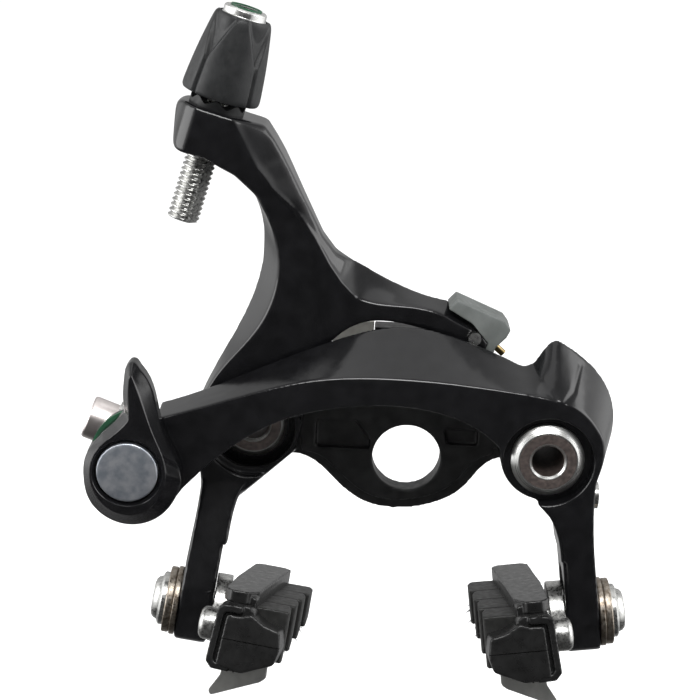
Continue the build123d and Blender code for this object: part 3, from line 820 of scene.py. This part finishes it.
def brake_pad(side):
    """Four blocks of rubber on a common core, with narrow grooves between them."""
    place = holder_frame(side)
    ends = [-23.2, -12.6, -0.9, 11.2, 24.6]
    gap = 0.32
    lobes = [pad_lobe(place, front + gap, back) for front, back in zip(ends, ends[1:])]
    core = box("core", place, 6.0, 12.2, -21, 25.5, -2.2, 3.3)
    spine = box("spine", place, RUBBER_FROM, 7.0, -21, 25.5, -2.2, 4.15)
    piece = joined(*lobes, core, spine)
    piece.name = f"{side}_brake_pad_look"
    return shade(stand_for(piece, f"{side}_brake_pad"), 45)


def pad_whiskers(side):
    """Frayed strands of rubber along the lower edge of the rubbing face."""
    chance = random.Random(WHISKER_SEED[side])
    joints, corners = 4, 4
    points, faces = [], []
    for _ in range(16):
        y = chance.uniform(-21, 20)
        foot = Vector((13.3, y, -4.2 + RUBBER_TAPER * (y - TAPER_FROM) + chance.uniform(0, 1.4)))
        aim = Vector((chance.uniform(0.2, 1.0), chance.uniform(-0.5, 0.5), chance.uniform(-1, 0.1)))
        aim = aim.normalized()
        bend = Vector((chance.uniform(-0.5, 0.5), chance.uniform(-0.5, 0.5), chance.uniform(-0.6, 0.2)))
        length = chance.uniform(0.6, 1.6)
        base = len(points)
        for joint in range(joints + 1):
            t = joint / joints
            centre = foot + aim * length * t + bend * length * t * t * 0.5
            thick = 0.11 * (1 - 0.8 * t)
            for corner in range(corners):
                angle = 2 * math.pi * corner / corners
                points.append(tuple(centre + Vector((0, math.cos(angle), math.sin(angle))) * thick))
        for start in range(base, base + joints * corners, corners):
            for corner in range(corners):
                a, b = start + corner, start + (corner + 1) % corners
                faces.append((a, b, b + corners, a + corners))
    piece = new_piece(f"{side}_pad_whiskers", points, faces, holder_frame(side))
    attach(piece, BODY[f"{side}_brake_pad"])
    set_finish(piece, SLOT[f"{side}_brake_pad"])
    return shade(piece)


def wheel_guide(side):
    """Thin fin under the nose that guides the wheel between the pads."""
    outline = [(3.0, -6.8), (2.9, -9.4), (1.2, -12.6), (1.7, -13.5), (10.4, -9.5), (11.3, -8.7),
               (11.2, -5.6)]
    fin = prism(f"{side}_wheel_guide_look", section(holder_frame(side)), rounded(outline, 0.6, 3), 19, 21)
    return shade(stand_for(remeshed(fin, FINE_VOXEL, 2), f"{side}_wheel_guide"), 40)


def build_pieces():
    """Every piece in the order in which it is made."""
    made = [
        front_arm(), rear_arm(), bracket(),
        adjuster_stud(), adjuster_knob(), housing_ferrule(), detent_ring(),
        release_lever(), release_cap(), cable_anchor_bolt(),
        soft_copy("slide_cap", FINE_VOXEL, 8), soft_copy("anchor_block", BLOCK_VOXEL, 3),
    ]
    for side in SIDES:
        made += [
            sleeve_ring(side), pivot_sleeve(side),
            inner_washer(side), outer_washers(side), shoe_bolt(side), pad_screw(side),
            shoe_holder(side), brake_pad(side), pad_whiskers(side),
            wheel_guide(side),
        ]
    return made


# ---- materials ----
NOISE_SPAN = (0.35, 0.65)    # most of a noise's values lie between these


class Finish:
    """A material being put together: the shader, and short ways to add nodes."""

    def __init__(self, name, color, roughness, metallic=0.0):
        self.material = bpy.data.materials.new(name)
        self.material.use_nodes = True
        self.tree = self.material.node_tree
        self.shader = self.tree.nodes["Principled BSDF"]
        self.shader.inputs["Base Color"].default_value = (*color, 1)
        self.shader.inputs["Roughness"].default_value = roughness
        self.shader.inputs["Metallic"].default_value = metallic
        self.place = self.tree.nodes.new("ShaderNodeTexCoord").outputs["Object"]

    def noise(self, per_mm, detail=4.0, rough=0.5):
        """Noise with so many features per millimetre."""
        node = self.tree.nodes.new("ShaderNodeTexNoise")
        node.inputs["Scale"].default_value = per_mm / MM
        node.inputs["Detail"].default_value = detail
        node.inputs["Roughness"].default_value = rough
        self.tree.links.new(self.place, node.inputs["Vector"])
        return node.outputs["Fac"]

    def spread(self, value, low, high):
        """Maps the useful part of a noise onto low to high."""
        node = self.tree.nodes.new("ShaderNodeMapRange")
        node.inputs["From Min"].default_value, node.inputs["From Max"].default_value = NOISE_SPAN
        node.inputs["To Min"].default_value = low
        node.inputs["To Max"].default_value = high
        self.tree.links.new(value, node.inputs["Value"])
        return node.outputs["Result"]

    def roughness(self, value, low, high):
        """Roughness going from low to high with the noise."""
        self.tree.links.new(self.spread(value, low, high), self.shader.inputs["Roughness"])

    def colors(self, value, first, second):
        """Base colour going from first to second with the noise."""
        ramp = self.tree.nodes.new("ShaderNodeValToRGB")
        for element, position, color in zip(ramp.color_ramp.elements, NOISE_SPAN, (first, second)):
            element.position = position
            element.color = (*color, 1)
        self.tree.links.new(value, ramp.inputs["Fac"])
        self.tree.links.new(ramp.outputs["Color"], self.shader.inputs["Base Color"])

    def bump(self, value, height):
        """Bump whose full height is in millimetres."""
        node = self.tree.nodes.new("ShaderNodeBump")
        node.inputs["Distance"].default_value = height * MM
        self.tree.links.new(value, node.inputs["Height"])
        self.tree.links.new(node.outputs["Normal"], self.shader.inputs["Normal"])

    def radial(self, place):
        """Noise that changes only with the distance from an axis, as turning leaves it."""
        across = self.tree.nodes.new("ShaderNodeVectorMath")
        across.operation = "CROSS_PRODUCT"
        offset = self.tree.nodes.new("ShaderNodeVectorMath")
        offset.operation = "SUBTRACT"
        offset.inputs[1].default_value = place.translation * MM
        across.inputs[1].default_value = place.to_3x3().col[2].normalized()
        self.tree.links.new(self.place, offset.inputs[0])
        self.tree.links.new(offset.outputs["Vector"], across.inputs[0])
        length = self.tree.nodes.new("ShaderNodeVectorMath")
        length.operation = "LENGTH"
        self.tree.links.new(across.outputs["Vector"], length.inputs[0])
        node = self.tree.nodes.new("ShaderNodeTexNoise")
        node.noise_dimensions = "1D"
        rings_per_mm = 9
        node.inputs["Scale"].default_value = rings_per_mm / MM
        node.inputs["Detail"].default_value = 3
        self.tree.links.new(length.outputs["Value"], node.inputs["W"])
        return node.outputs["Fac"]


def gloss_black():
    finish = Finish("gloss_black", (0.004, 0.004, 0.0045), 0.22)
    finish.colors(finish.noise(0.4), (0.003, 0.003, 0.0034), (0.005, 0.005, 0.0056))
    finish.roughness(finish.noise(0.25, 6), 0.14, 0.19)
    finish.bump(finish.noise(1.2, 2), 0.0015)
    return finish.material


def black_bracket():
    finish = Finish("black_bracket", (0.006, 0.006, 0.0065), 0.4)
    finish.colors(finish.noise(0.5), (0.004, 0.004, 0.0045), (0.009, 0.009, 0.0095))
    finish.roughness(finish.noise(0.8, 6), 0.32, 0.5)
    finish.bump(finish.noise(2.5, 3), 0.008)
    return finish.material


def bare_silver():
    finish = Finish("bare_silver", (0.75, 0.75, 0.74), 0.25, 1.0)
    finish.colors(finish.noise(0.7, 6), (0.62, 0.62, 0.6), (0.82, 0.82, 0.81))
    finish.roughness(finish.noise(1.2, 6), 0.2, 0.36)
    finish.bump(finish.noise(3, 4), 0.003)
    return finish.material


def turned_silver(name, place, first, second, low, high):
    """Bright metal with fine rings about an axis."""
    finish = Finish(name, first, low, 1.0)
    grain = finish.radial(place)
    finish.colors(finish.noise(0.5, 6), first, second)
    finish.roughness(grain, low, high)
    finish.bump(grain, 0.006)
    return finish.material


def steel():
    finish = Finish("steel", (0.55, 0.55, 0.54), 0.3, 1.0)
    finish.colors(finish.noise(0.9, 6), (0.4, 0.4, 0.39), (0.66, 0.66, 0.64))
    finish.roughness(finish.noise(2, 5), 0.2, 0.42)
    finish.bump(finish.noise(4, 4), 0.005)
    return finish.material


def dark_sleeve():
    finish = Finish("dark_sleeve", (0.045, 0.034, 0.03), 0.45, 0.35)
    finish.colors(finish.noise(1.5, 8), (0.035, 0.027, 0.025), (0.07, 0.054, 0.048))
    finish.roughness(finish.noise(3, 6), 0.38, 0.58)
    finish.bump(finish.noise(6, 4), 0.006)
    return finish.material


def brown_washer():
    finish = Finish("brown_washer", (0.3, 0.26, 0.21), 0.35, 1.0)
    finish.colors(finish.noise(1.1, 6), (0.22, 0.18, 0.14), (0.42, 0.38, 0.33))
    finish.roughness(finish.noise(2.2, 6), 0.25, 0.5)
    finish.bump(finish.noise(5, 4), 0.005)
    return finish.material


def moulded(name, dark, light, low, high, grain, height, shine):
    """Moulded plastic or rubber: fine grain, slightly uneven gloss and colour."""
    finish = Finish(name, dark, low)
    finish.shader.inputs["Specular IOR Level"].default_value = shine
    finish.colors(finish.noise(0.35, 8), dark, light)
    finish.roughness(finish.noise(0.9, 6), low, high)
    finish.bump(finish.noise(grain, 3, rough=0.6), height)
    return finish.material


def spring_steel():
    """Yellowish wire."""
    finish = Finish("spring_steel", (0.3, 0.22, 0.1), 0.25, 1.0)
    finish.colors(finish.noise(0.35, 8), (0.3, 0.22, 0.1), (0.42, 0.33, 0.17))
    finish.roughness(finish.noise(0.9, 6), 0.25, 0.4)
    finish.bump(finish.noise(3, 3, rough=0.6), 0.004)
    return finish.material


# Dark and light colour, least and most roughness, grain per mm and its height in mm, shine.
MOULDED = {
    "knob_plastic": ((0.006, 0.0065, 0.007), (0.01, 0.0105, 0.011), 0.38, 0.5, 3.5, 0.012, 0.35),
    "holder_plastic": ((0.004, 0.004, 0.004), (0.007, 0.007, 0.007), 0.26, 0.36, 2.5, 0.0015, 0.42),
    "pad_rubber": ((0.006, 0.006, 0.0055), (0.011, 0.011, 0.01), 0.42, 0.58, 2.5, 0.015, 0.4),
    "guide_plastic": ((0.055, 0.055, 0.052), (0.075, 0.075, 0.07), 0.5, 0.65, 4, 0.012, 0.5),
    "cap_plastic": ((0.075, 0.082, 0.078), (0.1, 0.108, 0.104), 0.42, 0.6, 3, 0.012, 0.5),
    "nylon": ((0.5, 0.49, 0.45), (0.62, 0.61, 0.56), 0.4, 0.55, 3, 0.01, 0.5),
    "green_seal": ((0.006, 0.045, 0.02), (0.012, 0.08, 0.035), 0.4, 0.55, 3, 0.01, 0.5),
}


def make_materials():
    """The finish of every slot, by the slot's name."""
    metals = (gloss_black, black_bracket, bare_silver, steel, dark_sleeve, brown_washer, spring_steel)
    finishes = {make.__name__: make() for make in metals}
    for name, numbers in MOULDED.items():
        finishes[name] = moulded(name, *numbers)
    return finishes


def dress(pieces):
    """Gives each piece, and each CAD node still shown, the finish of its slot."""
    finishes = make_materials()
    for piece in pieces:
        piece.data.materials.clear()
        piece.data.materials.append(finishes[piece["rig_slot"]])
    for node, obj in NODES.items():
        obj.data.materials.clear()
        obj.data.materials.append(finishes[SLOT[node]])
    by_name = {piece.name: piece for piece in pieces}
    for side in SIDES:
        by_name[f"{side}_sleeve_ring_look"].data.materials[0] = turned_silver(
            f"{side}_ring_silver", pivot_frame(side), (0.7, 0.7, 0.68), (0.85, 0.85, 0.83), 0.22, 0.4)
    by_name["release_cap_look"].data.materials[0] = turned_silver(
        "cap_silver", facing_front(*LEVER_AT), (0.42, 0.46, 0.52), (0.68, 0.7, 0.74), 0.42, 0.58)
    by_name["cable_anchor_bolt_look"].data.materials[0] = turned_silver(
        "anchor_silver", ANCHOR, (0.72, 0.66, 0.64), (0.86, 0.8, 0.78), 0.24, 0.38)


# ---- camera, light and floor ----
CAMERA_AT = (-12.7, -355.8, 116.3)
CAMERA_PAN = 0.47            # degrees to the right of +Y
CAMERA_TILT = 16.32          # degrees down
CAMERA_ROLL = 2.66
CAMERA_LENS = 95.8
FLOOR_BELOW = 30
WHITE_STRENGTH = 1.15
TENT_FRONT = 0.07            # brightness that glossy surfaces reflect from the front
TENT_SIDES = (0.5, 0.98, 1.7)      # where the tent starts and ends to brighten, and by how much
TENT_OVERHEAD = (0.3, 0.9, 0.42)
TENT_BEHIND = (0.1, 0.8, 0.5)
TENT_BELOW = (-0.95, -0.25)        # between these heights the sides fade out downwards


def add_camera():
    data = bpy.data.cameras.new("camera")
    data.lens = CAMERA_LENS
    camera = bpy.data.objects.new("camera", data)
    bpy.context.collection.objects.link(camera)
    pan = Matrix.Rotation(math.radians(-CAMERA_PAN), 4, "Z")
    tilt = Matrix.Rotation(math.radians(90 - CAMERA_TILT), 4, "X")
    roll = Matrix.Rotation(math.radians(CAMERA_ROLL), 4, "Z")
    camera.matrix_world = Matrix.Translation(Vector(CAMERA_AT) * MM) @ pan @ tilt @ roll
    bpy.context.scene.camera = camera


def softbox(name, at, aim, width, height, watts):
    """Rectangular area light at a place, facing another, both in millimetres."""
    data = bpy.data.lights.new(name, "AREA")
    data.shape = "RECTANGLE"
    data.size = width * MM
    data.size_y = height * MM
    data.energy = watts
    light = bpy.data.objects.new(name, data)
    bpy.context.collection.objects.link(light)
    light.location = Vector(at) * MM
    light.rotation_euler = (Vector(aim) - Vector(at)).to_track_quat("-Z", "Y").to_euler()


def add_world():
    """White surround for matt surfaces. Glossy ones reflect a tent that is dark in front
    and below, and bright at the sides, overhead and behind."""
    world = bpy.data.worlds.new("studio")
    bpy.context.scene.world = world
    world.use_nodes = True
    tree = world.node_tree
    place = tree.nodes.new("ShaderNodeTexCoord")
    parts = tree.nodes.new("ShaderNodeSeparateXYZ")
    tree.links.new(place.outputs["Generated"], parts.inputs[0])
    side = tree.nodes.new("ShaderNodeMath")
    side.operation = "ABSOLUTE"
    tree.links.new(parts.outputs["X"], side.inputs[0])
    low_down = tree.nodes.new("ShaderNodeMapRange")
    low_down.inputs["From Min"].default_value, low_down.inputs["From Max"].default_value = TENT_BELOW
    tree.links.new(parts.outputs["Z"], low_down.inputs["Value"])
    sides = tree.nodes.new("ShaderNodeMath")
    sides.operation = "MULTIPLY"
    tree.links.new(side.outputs[0], sides.inputs[0])
    tree.links.new(low_down.outputs["Result"], sides.inputs[1])
    total = None
    for output, (low, high, strength) in (
        (sides.outputs[0], TENT_SIDES),
        (parts.outputs["Z"], TENT_OVERHEAD),
        (parts.outputs["Y"], TENT_BEHIND),
    ):
        share = tree.nodes.new("ShaderNodeMapRange")
        share.interpolation_type = "SMOOTHSTEP"
        share.inputs["From Min"].default_value = low
        share.inputs["From Max"].default_value = high
        share.inputs["To Max"].default_value = strength
        tree.links.new(output, share.inputs["Value"])
        if total:
            add = tree.nodes.new("ShaderNodeMath")
            tree.links.new(total, add.inputs[0])
            tree.links.new(share.outputs["Result"], add.inputs[1])
            total = add.outputs[0]
        else:
            share.inputs["To Min"].default_value = TENT_FRONT
            share.inputs["To Max"].default_value = TENT_FRONT + strength
            total = share.outputs["Result"]
    tent = tree.nodes.new("ShaderNodeBackground")
    tree.links.new(total, tent.inputs["Strength"])
    white = tree.nodes["Background"]
    white.inputs["Color"].default_value = (1, 1, 1, 1)
    white.inputs["Strength"].default_value = WHITE_STRENGTH
    rays = tree.nodes.new("ShaderNodeLightPath")
    mix = tree.nodes.new("ShaderNodeMixShader")
    tree.links.new(rays.outputs["Is Glossy Ray"], mix.inputs["Fac"])
    tree.links.new(white.outputs["Background"], mix.inputs[1])
    tree.links.new(tent.outputs["Background"], mix.inputs[2])
    tree.links.new(mix.outputs["Shader"], tree.nodes["World Output"].inputs["Surface"])


def add_floor():
    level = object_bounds()[0][2] - FLOOR_BELOW * MM
    size = 6.0
    corners = [(-size, -size, level), (size, -size, level), (size, size, level), (-size, size, level)]
    mesh = bpy.data.meshes.new("floor")
    mesh.from_pydata(corners, [], [(0, 1, 2, 3)])
    floor = bpy.data.objects.new("floor", mesh)
    bpy.context.collection.objects.link(floor)
    floor.visible_glossy = False
    finish = Finish("studio_floor", (0.93, 0.93, 0.93), 0.9)
    finish.colors(finish.noise(0.004, 3), (0.92, 0.92, 0.92), (0.95, 0.95, 0.95))
    mesh.materials.append(finish.material)


def add_lights():
    """Weak overhead, one box at each side and a wide one above the camera."""
    middle = (0, -15, 5)
    softbox("overhead", (-20, 40, 480), middle, 420, 300, 0.3)
    softbox("left_side", (-460, -120, 160), middle, 300, 420, 1.3)
    softbox("right_side", (460, -60, 200), middle, 300, 420, 1.0)
    softbox("front_top", (0, -330, 420), middle, 340, 170, 2.1)
    bpy.context.scene.view_settings.view_transform = "Standard"


add_camera()
dress(build_pieces())
add_world()
add_floor()
add_lights()
